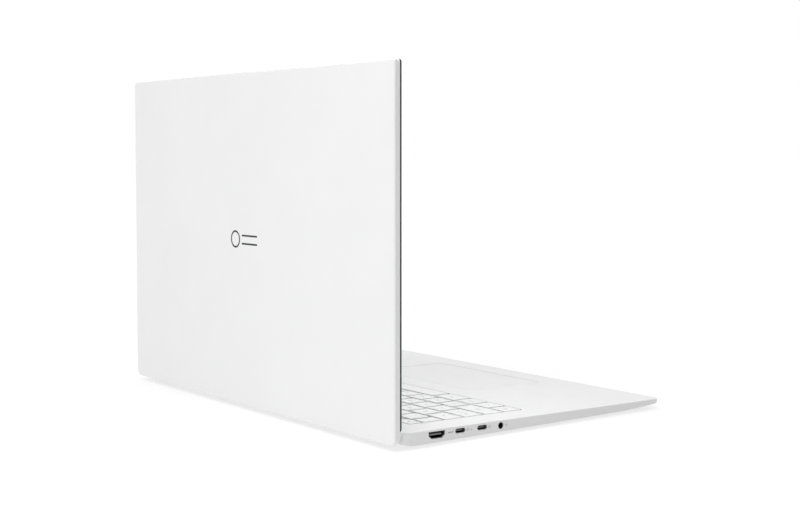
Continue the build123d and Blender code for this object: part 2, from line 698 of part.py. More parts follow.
with BuildPart() as hinge_screws:
    for side in (-1, 1):
        with BuildSketch(lid_plane(LEAF_OUT)):
            with Locations((side * sum(KNUCKLE_X) / 2, LEAF_SCREWS_UP)):
                with GridLocations(*LEAF_SCREWS, 2, 2):
                    Circle(LEAF_SCREW_R + 0.9)
        extrude(amount=0.3)
        with BuildSketch(lid_plane(LID_OUT - SHELL_SKIN - 0.05)):
            with Locations((side * sum(KNUCKLE_X) / 2, LEAF_SCREWS_UP)):
                with GridLocations(*LEAF_SCREWS, 2, 2):
                    Circle(LEAF_SCREW_R)
        extrude(amount=1.2)
save(hinge_screws, "hinge_screws")

# ---------------------------------------------------------------- lid
WEB_LOW = -1.2  # the arm between the barrel and the lid
WEB_HIGH = 3.2
COVER_BACK = 6.0
HOLLOW_LOW = 7.4  # lower edge of the hollow for the display
lid_middle = (LID_TOP + LID_BOTTOM) / 2
hollow_high = LID_TOP - SHELL_WALL

with BuildPart() as lid_back_cover:
    with BuildSketch(LID_SECTION):
        with BuildLine():
            groove_high = sqrt(GROOVE_R**2 - RAIL_IN**2)
            groove_low = (sqrt(GROOVE_R**2 - 0.3**2), -0.3)
            Polyline(groove_low, (8.3, LID_BOTTOM), (LID_OUT, LID_BOTTOM), (LID_OUT, LID_TOP),
                     (SHELL_RIM, LID_TOP), (SHELL_RIM, RAIL_TOP), (RAIL_IN, RAIL_TOP),
                     (RAIL_IN, groove_high))
            groove_middle = (GROOVE_R * cos(radians(20)), GROOVE_R * sin(radians(20)))
            ThreePointArc((RAIL_IN, groove_high), groove_middle, groove_low)
        make_face()
    extrude(amount=SIDE_X, both=True)
    with BuildSketch(lid_plane(20)):
        with Locations((0, lid_middle)):
            Rectangle(WIDTH + 2, DEPTH + 2)
            Rectangle(WIDTH, DEPTH, mode=Mode.SUBTRACT)
        with Locations((0, LID_BOTTOM)):
            with Locations((-SIDE_X, 0), (SIDE_X, 0)):
                Rectangle(2 * LID_LOW_CORNER_R, 2 * LID_LOW_CORNER_R)
        with Locations((-SIDE_X, LID_TOP), (SIDE_X, LID_TOP)):
            Rectangle(2 * LID_TOP_CORNER_R, 2 * LID_TOP_CORNER_R)
        for side in (-1, 1):
            with Locations((side * (SIDE_X - LID_LOW_CORNER_R), LID_BOTTOM + LID_LOW_CORNER_R)):
                Circle(LID_LOW_CORNER_R, mode=Mode.SUBTRACT)
            with Locations((side * (SIDE_X - LID_TOP_CORNER_R), LID_TOP - LID_TOP_CORNER_R)):
                Circle(LID_TOP_CORNER_R, mode=Mode.SUBTRACT)
    extrude(amount=40, mode=Mode.SUBTRACT)
    fillet(lid_back_cover.faces().sort_by(Axis.Y)[-1].edges(), LID_EDGE_R)
    # Hollow for the display
    with BuildSketch(lid_plane(SHELL_RIM)):
        with Locations((0, (hollow_high + HOLLOW_LOW) / 2)):
            Rectangle(WIDTH - 2 * SHELL_WALL, hollow_high - HOLLOW_LOW)
    extrude(amount=SHELL_RIM - LID_OUT + SHELL_SKIN, mode=Mode.SUBTRACT)
    # Room in the rail for the hinge cover and the hinge leaves
    with BuildSketch(LID_SECTION):
        with Locations((0, WEB_LOW - 0.1)):
            Rectangle(COVER_BACK + 0.05, RAIL_TOP + 1 - WEB_LOW + 0.1, align=(Align.MIN, Align.MIN))
    extrude(amount=BARREL_HALF + 0.1, both=True, mode=Mode.SUBTRACT)
    for side in (-1, 1):
        with BuildSketch(LID_SECTION.offset(side * (KNUCKLE_X[0] - 0.2))):
            with Locations((4, -0.2)):
                Rectangle(LID_OUT - SHELL_SKIN - 4, 8, align=(Align.MIN, Align.MIN))
        extrude(amount=side * (KNUCKLE_X[1] - KNUCKLE_X[0] + 0.4), mode=Mode.SUBTRACT)
save(lid_back_cover, "lid_back_cover")

with BuildPart() as hinge_cover:
    with BuildSketch(LID_SECTION):
        Circle(BARREL_R)
        with Locations((0, WEB_LOW)):
            Rectangle(COVER_BACK, WEB_HIGH - WEB_LOW, align=(Align.MIN, Align.MIN))
        with Locations((RAIL_IN, WEB_LOW)):
            Rectangle(COVER_BACK - RAIL_IN, RAIL_TOP - WEB_LOW, align=(Align.MIN, Align.MIN))
    extrude(amount=BARREL_HALF, both=True)
    for side in (-1, 1):
        with BuildSketch(LID_SECTION.offset(side * (KNUCKLE_X[0] - 1.5))):
            Circle(KNUCKLE_R + 0.02)
            with Locations((0, -0.02)):
                Rectangle(COVER_BACK + 1, 2.04, align=(Align.MIN, Align.MIN))
        extrude(amount=side * 30, mode=Mode.SUBTRACT)
save(hinge_cover, "hinge_cover")

BEZEL_INSET = 0.1
BEZEL_LOW = 4.5
BEZEL_HIGH = LID_TOP - BEZEL_INSET
CAMERA_UP = 250.4
WINDOW_R = 2.4
with BuildPart() as display_bezel:
    with BuildSketch(lid_plane(SHELL_RIM)):
        with Locations((0, (BEZEL_LOW + BEZEL_HIGH) / 2)):
            RectangleRounded(WIDTH - 2 * BEZEL_INSET, BEZEL_HIGH - BEZEL_LOW,
                             LID_TOP_CORNER_R - BEZEL_INSET)
        with Locations((0, (SCREEN_LOW + SCREEN_HIGH) / 2)):
            Rectangle(2 * SCREEN_HALF + 1, SCREEN_HIGH - SCREEN_LOW + 1, mode=Mode.SUBTRACT)
        with Locations((0, CAMERA_UP)):
            Circle(WINDOW_R + 0.03, mode=Mode.SUBTRACT)
    extrude(amount=SHELL_RIM - BEZEL_FACE)
save(display_bezel, "display_bezel")

GASKET_INSET = 0.35
GASKET_WIDTH = 2.2
gasket_width = WIDTH - 2 * GASKET_INSET
gasket_height = BEZEL_HIGH - BEZEL_LOW - 2 * GASKET_INSET + BEZEL_INSET
with BuildPart() as bezel_gasket:
    with BuildSketch(lid_plane(BEZEL_FACE)):
        with Locations((0, (BEZEL_LOW + BEZEL_HIGH) / 2)):
            RectangleRounded(gasket_width, gasket_height, 2)
            RectangleRounded(gasket_width - 2 * GASKET_WIDTH, gasket_height - 2 * GASKET_WIDTH, 1,
                             mode=Mode.SUBTRACT)
    extrude(amount=BEZEL_FACE - GASKET_FACE)
save(bezel_gasket, "bezel_gasket")

PANEL_BACK = 7.2
with BuildPart() as display_panel:
    with BuildSketch(lid_plane(PANEL_BACK)):
        with Locations((0, (SCREEN_LOW + SCREEN_HIGH) / 2)):
            Rectangle(2 * SCREEN_HALF + 3, SCREEN_HIGH - SCREEN_LOW + 4)
    extrude(amount=PANEL_BACK - SHELL_RIM - 0.05)
save(display_panel, "display_panel")

with BuildPart() as camera_window:
    with BuildSketch(lid_plane(SHELL_RIM)):
        with Locations((0, CAMERA_UP)):
            Circle(WINDOW_R)
    extrude(amount=SHELL_RIM - BEZEL_FACE - 0.05)
save(camera_window, "camera_window")

LENS_BACK = 6.8
with BuildPart() as camera_module:
    with BuildSketch(lid_plane(7.8)):
        with Locations((0, CAMERA_UP + 0.4)):
            RectangleRounded(70, 4.8, 0.5)
    extrude(amount=1.0)
    with BuildSketch(lid_plane(LENS_BACK)):
        with Locations((0, CAMERA_UP)):
            Rectangle(4.2, 4.2)
        with Locations((-20, CAMERA_UP + 0.4), (20, CAMERA_UP + 0.4)):
            Rectangle(3.4, 2.4)
    extrude(amount=LENS_BACK - SHELL_RIM - 0.05)
save(camera_module, "camera_module")

with BuildPart() as wireless_antennas:
    with BuildSketch(lid_plane(8.4)):
        with Locations((-105, CAMERA_UP + 0.5), (105, CAMERA_UP + 0.5)):
            RectangleRounded(70, 4.4, 0.5)
    extrude(amount=0.6)
save(wireless_antennas, "wireless_antennas")

with BuildPart() as display_cable:
    with BuildSketch(lid_plane(8.5)):
        with Locations((-60, 7.6)):
            Rectangle(16, 40, align=(Align.CENTER, Align.MIN))
    extrude(amount=0.3)
    with BuildSketch(lid_plane(8.5)):
        with Locations((-60, 40)):
            Rectangle(24, 5)
    extrude(amount=0.9)
save(display_cable, "display_cable")

# ---------------------------------------------------------------- inside the base
BOARD_Z = 3.4
BOARD_THICK = 0.8
FLOOR_Z = 2.6  # inner face of the bottom cover
BOARD_LOBES = [(-72, 20, 196, 58), (-145, 66, 50, 80), (5, 66, 42, 50)]  # x, y, width, depth
PROCESSOR_AT = (8, 44)
board_top = BOARD_Z + BOARD_THICK
FAN_X = -80.0
FAN_Y = 84.0
FAN_SIZE = 56.0
FAN_Z = FLOOR_Z
FAN_HEIGHT = 3.4
PIPE_Z = 4.95

with BuildPart() as mainboard:
    with BuildSketch(Plane.XY.offset(BOARD_Z)):
        for x, y, width, depth in BOARD_LOBES:
            with Locations((x, y)):
                RectangleRounded(width, depth, 2)
    extrude(amount=BOARD_THICK)
    with BuildSketch(Plane.XY.offset(board_top)):
        with Locations((-60, 10)):
            with GridLocations(11, 9, 7, 3):
                Rectangle(5, 4)
        with Locations((-148, 58)):
            with GridLocations(10, 12, 3, 5):
                Rectangle(6, 5)
    extrude(amount=0.7)
save(mainboard, "mainboard")

with BuildPart() as processor:
    with BuildSketch(Plane.XY.offset(board_top)):
        with Locations(PROCESSOR_AT):
            RectangleRounded(26, 22, 1)
    extrude(amount=PIPE_Z - board_top)
save(processor, "processor")

PIPE_Y = 112.6
PIPE_END = -126.0
PIPE_WIDTH = 6.0
with BuildPart() as heat_pipe:
    with BuildSketch(Plane.XY.offset(PIPE_Z)):
        with BuildLine():
            FilletPolyline((8, 43), (8, 100), (-4, PIPE_Y), (PIPE_END, PIPE_Y), radius=8)
            offset(amount=PIPE_WIDTH / 2, side=Side.BOTH)
        make_face()
    extrude(amount=1.0)
save(heat_pipe, "heat_pipe")

FIN_COUNT = 48
FIN_PITCH = 2.0
FIN_DEPTH = 4.6
FIN_SHEET = 0.3
FIN_Y = PIPE_Y + 0.2
with BuildPart() as heatsink_fins:
    for sheet_z in (FLOOR_Z, PIPE_Z - FIN_SHEET):
        with BuildSketch(Plane.XY.offset(sheet_z)):
            with Locations((FAN_X, FIN_Y)):
                Rectangle(FIN_COUNT * FIN_PITCH, FIN_DEPTH)
        extrude(amount=FIN_SHEET)
    with BuildSketch(Plane.XY.offset(FLOOR_Z)):
        with Locations((FAN_X, FIN_Y)):
            with GridLocations(FIN_PITCH, 1, FIN_COUNT, 1):
                Rectangle(FIN_SHEET, FIN_DEPTH)
    extrude(amount=PIPE_Z - FLOOR_Z)
save(heatsink_fins, "heatsink_fins")

ROTOR_R = 24.0
HUB_R = 9.0
PIN_R = 0.8
HOUSING_SKIN = 0.4
with BuildPart() as fan_housing:
    with BuildSketch(Plane.XY.offset(FAN_Z)):
        with Locations((FAN_X, FAN_Y - 2)):
            RectangleRounded(FAN_SIZE, FAN_SIZE - 4, 6)
    extrude(amount=FAN_HEIGHT)
    with BuildSketch(Plane.XY.offset(FAN_Z + HOUSING_SKIN)):
        with Locations((FAN_X, FAN_Y - 2)):
            Circle(ROTOR_R + 1)
            with Locations((0, 14)):
                Rectangle(44, 28)
    extrude(amount=FAN_HEIGHT - 2 * HOUSING_SKIN, mode=Mode.SUBTRACT)
    with BuildSketch(Plane.XY.offset(FAN_Z - 1)):
        with Locations((FAN_X, FAN_Y - 2)):
            Circle(18)
            Circle(HUB_R, mode=Mode.SUBTRACT)
            for angle in (30, 150, 270):
                Rectangle(40, 2.4, rotation=angle, mode=Mode.SUBTRACT)
    extrude(amount=1.6, mode=Mode.SUBTRACT)
    with BuildSketch(Plane.XY.offset(FAN_Z + HOUSING_SKIN)):
        with Locations((FAN_X, FAN_Y - 2)):
            Circle(PIN_R)
    extrude(amount=2.0)
save(fan_housing, "fan_housing")

BLADES = 31
with BuildPart() as fan_rotor:
    with BuildSketch(Plane.XY.offset(FAN_Z + 0.8)):
        with Locations((FAN_X, FAN_Y - 2)):
            Circle(HUB_R)
            with PolarLocations(HUB_R + 6.8, BLADES):
                Rectangle(15, 0.5, rotation=25)
            Circle(PIN_R + 0.05, mode=Mode.SUBTRACT)
    extrude(amount=1.8)
save(fan_rotor, "fan_rotor")

BATTERY_AT = (0, -52)
BATTERY_SIZE = (296.0, 76.0, 2.4)
CELL_COUNT = 4
CELL_PITCH = 73.0
with BuildPart() as battery_pack:
    with BuildSketch(Plane.XY.offset(FLOOR_Z)):
        with Locations(BATTERY_AT):
            RectangleRounded(BATTERY_SIZE[0], BATTERY_SIZE[1], 3)
    extrude(amount=BATTERY_SIZE[2])
    with BuildSketch(Plane.XY.offset(FLOOR_Z + BATTERY_SIZE[2])):
        with Locations(BATTERY_AT):
            with GridLocations(CELL_PITCH, 1, CELL_COUNT, 1):
                RectangleRounded(CELL_PITCH - 4, BATTERY_SIZE[1] - 6, 2)
    extrude(amount=0.3)
save(battery_pack, "battery_pack")


def small_board(name, spot, size, thick, chip_size, chip_count, chip_pitch):
    """Flat board on the bottom cover's side with a row of chips on top."""
    with BuildPart() as card:
        with BuildSketch(Plane.XY.offset(BOARD_Z)):
            with Locations(spot):
                RectangleRounded(*size, 0.6)
        extrude(amount=thick)
        with BuildSketch(Plane.XY.offset(BOARD_Z + thick)):
            with Locations(spot):
                with GridLocations(chip_pitch, 1, chip_count, 1):
                    Rectangle(*chip_size)
        extrude(amount=CHIP_HEIGHT)
    save(card, name)


CHIP_HEIGHT = 0.8
small_board("solid_state_drive", (82, 14), (80, 22), 0.8, (14, 18), 4, 18)
small_board("memory_module", (78, 50), (67.6, 30), 1.0, (11, 10), 4, 15)
small_board("wireless_card", (132, 50), (22, 30), 0.8, (17, 17), 1, 1)

PORT_BOARD_AT = (161, 62)
PORT_BOARD_SIZE = (24, 66)
with BuildPart() as port_board:
    with BuildSketch(Plane.XY.offset(BOARD_Z)):
        with Locations(PORT_BOARD_AT):
            RectangleRounded(*PORT_BOARD_SIZE, 1.5)
    extrude(amount=BOARD_THICK)
save(port_board, "port_board")

SPEAKER_SIZE = (26, 72)
SPEAKER_HEIGHT = 2.8
for side, side_name in ((-1, "left"), (1, "right")):
    with BuildPart() as speaker:
        with BuildSketch(Plane.XY.offset(FLOOR_Z)):
            with Locations((side * SPEAKER_X, SPEAKER_Y)):
                RectangleRounded(*SPEAKER_SIZE, 3)
        extrude(amount=SPEAKER_HEIGHT)
        with BuildSketch(Plane.XY.offset(FLOOR_Z + SPEAKER_HEIGHT)):
            with Locations((side * SPEAKER_X, SPEAKER_Y)):
                SlotOverall(30, 14, rotation=90)
        extrude(amount=0.5)
    save(speaker, f"speaker_{side_name}")

# Flat cables to the touchpad, stepping down behind the battery, and to the keyboard
CABLE_THICK = 0.12
CABLE_Z = 5.0
CABLE_HIGH_Z = 5.6  # over the battery
cable_route = [(-30, CABLE_HIGH_Z), (-15, CABLE_HIGH_Z), (-12, CABLE_Z), (8, CABLE_Z)]
cable_back = [(y, z + CABLE_THICK) for y, z in reversed(cable_route)]
with BuildPart() as ribbon_cables:
    with BuildSketch(Plane.YZ.offset(-19)):
        with BuildLine():
            Polyline(*cable_route, *cable_back, close=True)
        make_face()
    extrude(amount=14)
    with BuildSketch(Plane.XY.offset(CABLE_Z)):
        with Locations((-120, -2)):
            Rectangle(22, 14)
    extrude(amount=CABLE_THICK)
save(ribbon_cables, "ribbon_cables")
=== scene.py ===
import json
from math import cos, radians, sin

import bmesh
import bpy
from mathutils import Euler, Matrix, Vector

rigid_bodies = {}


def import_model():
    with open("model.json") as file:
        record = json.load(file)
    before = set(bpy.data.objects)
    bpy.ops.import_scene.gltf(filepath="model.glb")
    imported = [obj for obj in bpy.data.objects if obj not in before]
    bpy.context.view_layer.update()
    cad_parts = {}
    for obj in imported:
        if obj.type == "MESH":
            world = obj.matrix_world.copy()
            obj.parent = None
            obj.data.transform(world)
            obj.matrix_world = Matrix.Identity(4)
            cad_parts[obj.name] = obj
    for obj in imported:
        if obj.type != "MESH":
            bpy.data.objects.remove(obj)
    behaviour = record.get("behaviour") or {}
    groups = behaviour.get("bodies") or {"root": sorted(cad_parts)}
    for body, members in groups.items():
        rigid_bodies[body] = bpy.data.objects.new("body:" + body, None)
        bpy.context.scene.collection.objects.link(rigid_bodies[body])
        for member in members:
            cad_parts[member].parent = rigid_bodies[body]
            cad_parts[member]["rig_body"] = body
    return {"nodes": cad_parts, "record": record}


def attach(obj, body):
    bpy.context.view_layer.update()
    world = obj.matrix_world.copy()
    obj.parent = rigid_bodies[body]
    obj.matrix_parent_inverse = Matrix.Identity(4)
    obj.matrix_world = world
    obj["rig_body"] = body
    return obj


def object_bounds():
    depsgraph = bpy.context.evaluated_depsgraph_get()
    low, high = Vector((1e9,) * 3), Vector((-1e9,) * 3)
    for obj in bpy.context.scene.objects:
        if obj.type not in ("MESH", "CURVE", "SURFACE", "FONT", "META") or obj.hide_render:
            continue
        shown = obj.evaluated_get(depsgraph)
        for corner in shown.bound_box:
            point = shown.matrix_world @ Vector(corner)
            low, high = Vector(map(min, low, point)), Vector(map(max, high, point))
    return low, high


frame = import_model()
cad_low, cad_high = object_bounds()
nodes = frame["nodes"]

DECK_TILT = radians(1.0)
DECK_MATRIX = Euler((DECK_TILT, 0, 0)).to_matrix().to_4x4()


# ---------------------------------------------------------------- node helpers
class Shader:
    """A material under construction: a Principled shader and the nodes that feed it."""

    def __init__(self, name, color, roughness, metallic=0.0, specular=0.5):
        self.material = bpy.data.materials.new(name)
        self.material.use_nodes = True
        self.tree = self.material.node_tree
        self.shader = self.tree.nodes["Principled BSDF"]
        self.shader.inputs["Base Color"].default_value = (*color, 1)
        self.shader.inputs["Roughness"].default_value = roughness
        self.shader.inputs["Metallic"].default_value = metallic
        self.shader.inputs["Specular IOR Level"].default_value = specular
        self.place = self.add("ShaderNodeTexCoord").outputs["Object"]
        self.normal = None

    def add(self, kind, **settings):
        node = self.tree.nodes.new(kind)
        for key, value in settings.items():
            setattr(node, key, value)
        return node

    def link(self, output, target):
        self.tree.links.new(output, target)

    def stretched(self, scale):
        """The place, stretched by a factor along each axis."""
        mapping = self.add("ShaderNodeMapping")
        mapping.inputs["Scale"].default_value = scale
        self.link(self.place, mapping.inputs["Vector"])
        return mapping.outputs["Vector"]

    def noise(self, size, detail=2.0, roughness=0.5, place=None):
        """Noise whose features are about size metres across."""
        node = self.add("ShaderNodeTexNoise")
        node.inputs["Scale"].default_value = 1 / size
        node.inputs["Detail"].default_value = detail
        node.inputs["Roughness"].default_value = roughness
        self.link(place or self.place, node.inputs["Vector"])
        return node.outputs["Fac"]

    def spread(self, value, low, high, from_low=0.3, from_high=0.7):
        """Maps a noise to the range low to high."""
        node = self.add("ShaderNodeMapRange")
        node.inputs["From Min"].default_value = from_low
        node.inputs["From Max"].default_value = from_high
        node.inputs["To Min"].default_value = low
        node.inputs["To Max"].default_value = high
        self.link(value, node.inputs["Value"])
        return node.outputs["Result"]

    def tint(self, value, first, second, from_low=0.3, from_high=0.7):
        """Colours the surface between two colours by a noise."""
        ramp = self.add("ShaderNodeValToRGB")
        ramp.color_ramp.elements[0].position = from_low
        ramp.color_ramp.elements[0].color = (*first, 1)
        ramp.color_ramp.elements[1].position = from_high
        ramp.color_ramp.elements[1].color = (*second, 1)
        self.link(value, ramp.inputs["Fac"])
        self.link(ramp.outputs["Color"], self.shader.inputs["Base Color"])

    def rough(self, value, low, high):
        """Varies the roughness between two values by a noise."""
        self.link(self.spread(value, low, high), self.shader.inputs["Roughness"])

    def bump(self, height, strength, distance):
        """Raises the surface by a noise, on top of any earlier bump."""
        node = self.add("ShaderNodeBump")
        node.inputs["Strength"].default_value = strength
        node.inputs["Distance"].default_value = distance
        self.link(height, node.inputs["Height"])
        if self.normal is not None:
            self.link(self.normal, node.inputs["Normal"])
        self.normal = node.outputs["Normal"]
        self.link(self.normal, self.shader.inputs["Normal"])

    def along(self, axis):
        """The place along one axis."""
        node = self.add("ShaderNodeSeparateXYZ")
        self.link(self.place, node.inputs["Vector"])
        return node.outputs[axis]

    def set(self, **values):
        for name, value in values.items():
            self.shader.inputs[name.replace("_", " ")].default_value = value


def painted(name, light, dark, grain=0.0003, depth=0.000006):
    """Satin powder-fine paint on metal."""
    made = Shader(name, light, 0.42)
    cloud = made.noise(0.05, detail=3)
    made.tint(cloud, dark, light)
    made.rough(made.noise(0.012, detail=4), 0.38, 0.5)
    made.bump(made.noise(grain, detail=3, roughness=0.6), 0.35, depth)
    made.set(Coat_Weight=0.12, Coat_Roughness=0.3)
    return made.material


def moulded(name, light, dark, roughness=(0.5, 0.62), specular=0.5):
    """Moulded plastic with a fine even grain."""
    made = Shader(name, light, roughness[0], specular=specular)
    made.tint(made.noise(0.02, detail=3), dark, light)
    made.rough(made.noise(0.003, detail=3), *roughness)
    made.bump(made.noise(0.00022, detail=2, roughness=0.7), 0.5, 0.000012)
    return made.material


def brushed(name, light, dark):
    """Metal with fine scratches along X."""
    made = Shader(name, light, 0.25, metallic=1.0)
    lines = made.noise(0.004, detail=4, place=made.stretched((1, 40, 40)))
    made.tint(lines, dark, light)
    made.rough(lines, 0.25, 0.42)
    made.bump(lines, 0.3, 0.000008)
    return made.material


def rubber(name, light, dark):
    """Matt rubber."""
    made = Shader(name, light, 0.8, specular=0.15)
    made.tint(made.noise(0.004, detail=4), dark, light)
    made.rough(made.noise(0.001, detail=2), 0.72, 0.88)
    made.bump(made.noise(0.0004, detail=3), 0.6, 0.00002)
    return made.material


# Depths into a port where the painted shade is full and where it begins
PAINTED_SHADE_FULL_DEPTH = 0.0040
PAINTED_SHADE_START_DEPTH = 0.0006


def shaded_port_lining(name, side):
    """Nickel inside a port with painted shade: near black deep inside, its own grey at the mouth. side is
    -1 for the left, 1 for the right.
    """
    made = Shader(name, (0.03, 0.03, 0.032), 0.35, metallic=0.9)
    depth = made.along("X")
    mouth = made.add("ShaderNodeMath", operation="MULTIPLY")
    made.link(depth, mouth.inputs[0])
    mouth.inputs[1].default_value = side
    edge = cad_high.x
    # Painted shade: the lining's colour runs from grey at the mouth to near black deeper in, where shade
    # falls inside the port
    shade = made.spread(mouth.outputs[0], 0, 1, edge - PAINTED_SHADE_FULL_DEPTH, edge - PAINTED_SHADE_START_DEPTH)
    made.tint(shade, (0.012, 0.012, 0.013), (0.30, 0.30, 0.31), 0.2, 0.95)
    made.rough(made.noise(0.0008, detail=3), 0.3, 0.5)
    made.bump(made.noise(0.0003), 0.3, 0.00001)
    return made.material


def screen_glass():
    """Switched-off display behind an anti-glare coat."""
    made = Shader("screen", (0.005, 0.005, 0.007), 0.12, specular=0.3)
    made.tint(made.noise(0.08, detail=2), (0.004, 0.004, 0.006), (0.006, 0.006, 0.008))
    made.rough(made.noise(0.02, detail=3), 0.1, 0.16)
    made.bump(made.noise(0.00012, detail=1), 0.15, 0.000003)
    made.set(Coat_Weight=0.1, Coat_Roughness=0.08)
    return made.material


def circuit(name):
    """Solder mask with fine traces."""
    made = Shader(name, (0.01, 0.05, 0.03), 0.4)
    wave = made.add("ShaderNodeTexWave", wave_type="BANDS", bands_direction="DIAGONAL")
    wave.inputs["Scale"].default_value = 450
    wave.inputs["Distortion"].default_value = 12
    wave.inputs["Detail"].default_value = 2
    made.link(made.place, wave.inputs["Vector"])
    made.tint(wave.outputs["Fac"], (0.008, 0.04, 0.025), (0.02, 0.11, 0.06), 0.45, 0.6)
    made.rough(made.noise(0.004), 0.35, 0.5)
    made.bump(wave.outputs["Fac"], 0.3, 0.00003)
    return made.material


def legend_ink():
    """Pale grey print."""
    made = Shader("legend_ink", (0.45, 0.45, 0.46), 0.6)
    made.tint(made.noise(0.002), (0.42, 0.42, 0.43), (0.48, 0.48, 0.49))
    made.rough(made.noise(0.0005), 0.55, 0.7)
    return made.material


def mark_ink():
    """Black print with a slight metal sheen."""
    made = Shader("mark_ink", (0.012, 0.012, 0.013), 0.35, metallic=0.4)
    made.tint(made.noise(0.001), (0.010, 0.010, 0.011), (0.018, 0.018, 0.019))
    made.rough(made.noise(0.0006), 0.3, 0.42)
    made.bump(made.noise(0.0003), 0.2, 0.000006)
    return made.material


def light_guide():
    """Unlit window of the status light."""
    made = Shader("light_guide", (0.12, 0.12, 0.125), 0.25)
    made.tint(made.noise(0.0004), (0.09, 0.09, 0.095), (0.15, 0.15, 0.155))
    made.rough(made.noise(0.0003), 0.2, 0.35)
    made.set(Subsurface_Weight=0.2)
    return made.material


def camera_lens():
    """Near-black glass with a polished coat."""
    made = Shader("camera_glass", (0.004, 0.004, 0.006), 0.06)
    made.tint(made.noise(0.001), (0.003, 0.003, 0.005), (0.006, 0.006, 0.009))
    made.set(Coat_Weight=1.0, Coat_Roughness=0.03)
    return made.material


materials = {
    "shell_white": painted("shell_white", (0.80, 0.80, 0.803), (0.785, 0.785, 0.79)),
    "key_white": moulded("key_white", (0.86, 0.86, 0.865), (0.84, 0.84, 0.845)),
    "key_web": moulded("key_web", (0.86, 0.86, 0.865), (0.83, 0.83, 0.835), (0.6, 0.75)),
    "touchpad_glass": painted("touchpad_glass", (0.79, 0.79, 0.795), (0.775, 0.775, 0.78),
                              grain=0.00015, depth=0.000003),
    "bezel_black": moulded("bezel_black", (0.006, 0.006, 0.0065), (0.004, 0.004, 0.0045),
                           specular=0.15),
    "gasket_rubber": rubber("gasket_rubber", (0.006, 0.006, 0.0065), (0.004, 0.004, 0.0045)),
    "screen": screen_glass(),
    "module_black": moulded("module_black", (0.03, 0.03, 0.032), (0.02, 0.02, 0.022)),
    "copper": brushed("copper", (0.75, 0.36, 0.2), (0.6, 0.27, 0.14)),
    "cable_film": moulded("cable_film", (0.06, 0.045, 0.03), (0.04, 0.03, 0.02), (0.3, 0.45)),
    "hinge_steel": brushed("hinge_steel", (0.55, 0.56, 0.58), (0.42, 0.43, 0.45)),
    "dome_rubber": rubber("dome_rubber", (0.45, 0.45, 0.45), (0.38, 0.38, 0.38)),
    "foot_rubber": rubber("foot_rubber", (0.42, 0.43, 0.44), (0.36, 0.37, 0.38)),
    "jack_plastic": moulded("jack_plastic", (0.014, 0.014, 0.015), (0.009, 0.009, 0.01), (0.3, 0.42)),
    "light_guide": light_guide(),
    "circuit_board": circuit("circuit_board"),
    "chip": moulded("chip", (0.05, 0.05, 0.055), (0.035, 0.035, 0.04), (0.3, 0.45)),
    "fin_aluminium": brushed("fin_aluminium", (0.75, 0.76, 0.78), (0.62, 0.63, 0.65)),
    "fan_plastic": moulded("fan_plastic", (0.02, 0.02, 0.022), (0.013, 0.013, 0.015)),
    "battery_film": moulded("battery_film", (0.03, 0.03, 0.034), (0.02, 0.02, 0.024), (0.25, 0.4)),
    "camera_glass": camera_lens(),
}
left_lining = shaded_port_lining("port_lining_left", -1)
right_lining = shaded_port_lining("port_lining_right", 1)
slot_of = {part["node"]: part["material_slot"] for part in frame["record"]["subparts"]}
ports = {
    "video_port": left_lining,
    "usb_c_port_rear": left_lining,
    "usb_c_port_front": left_lining,
    "usb_a_port_rear": right_lining,
    "usb_a_port_front": right_lining,
    "card_reader": right_lining,
    "lock_slot": right_lining,
}
for name, node in nodes.items():
    chosen = ports.get(name) or materials[slot_of[name]]
    node.data.materials.clear()
    node.data.materials.append(chosen)


# ---------------------------------------------------------------- softened edges
WELD_DISTANCE = 0.00001
EDGE_WIDTH = 0.0003


def soften(name):
    """Welds a node's split corners and rounds its sharp edges a little."""
    weld = nodes[name].modifiers.new("weld", "WELD")
    weld.merge_threshold = WELD_DISTANCE
    bevel = nodes[name].modifiers.new("edge", "BEVEL")
    bevel.width = EDGE_WIDTH
    bevel.segments = 2
    bevel.limit_method = "ANGLE"
    bevel.angle_limit = radians(35)
    bevel.use_clamp_overlap = True
    bevel.harden_normals = True


for name in nodes:
    if slot_of[name] == "key_white":
        soften(name)


# ---------------------------------------------------------------- key legends
INK_THICK = 0.00003
LETTER_SIZE = 0.0048
WORD_SIZE = 0.0030
PAIR_SIZE = 0.0036
legends = {
    "function_keys": ["Esc"] + [f"F{n}" for n in range(1, 13)] + ["Del", "Home", "End", "PgUp"],
    "number_row_keys": ["~\n`", "!\n1", "@\n2", "#\n3", "$\n4", "%\n5", "^\n6", "&\n7", "*\n8", "(\n9",
                        ")\n0", "_\n-", "+\n="],
    "backspace_key": ["Bksp"],
    "upper_letter_keys": ["Tab", *"QWERTYUIOP", "{\n[", "}\n]", "|\n\\"],
    "caps_lock_key": ["Caps Lock"],
    "home_letter_keys": [*"ASDFGHJKL", ":\n;", "\"\n'"],
    "enter_key": ["Enter"],
    "left_shift_key": ["Shift"],
    "lower_letter_keys": [*"ZXCVBNM", "<\n,", ">\n.", "?\n/", "Shift"],
    "control_keys": ["Ctrl", "Fn", "Menu", "Alt", "Alt", "Ctrl"],
    "arrow_keys": ["<", "^", ">", "v"],
    "number_pad_keys": ["Num", "/", "*", "-", "7", "8", "9", "+", "4", "5", "6", "1", "2", "3", "Enter",
                        "0", "."],
}


def box_of(points):
    """The lowest and highest corners of the box round the points."""
    return Vector(map(min, zip(*points))), Vector(map(max, zip(*points)))


def linked_points(start, seen):
    """The places, in the deck's frame, of every vertex joined to start by edges."""
    to_deck = DECK_MATRIX.inverted()
    points = []
    queue = [start]
    seen.add(start.index)
    while queue:
        vert = queue.pop()
        points.append(to_deck @ vert.co)
        for edge in vert.link_edges:
            other = edge.other_vert(vert)
            if other.index not in seen:
                seen.add(other.index)
                queue.append(other)
    return points


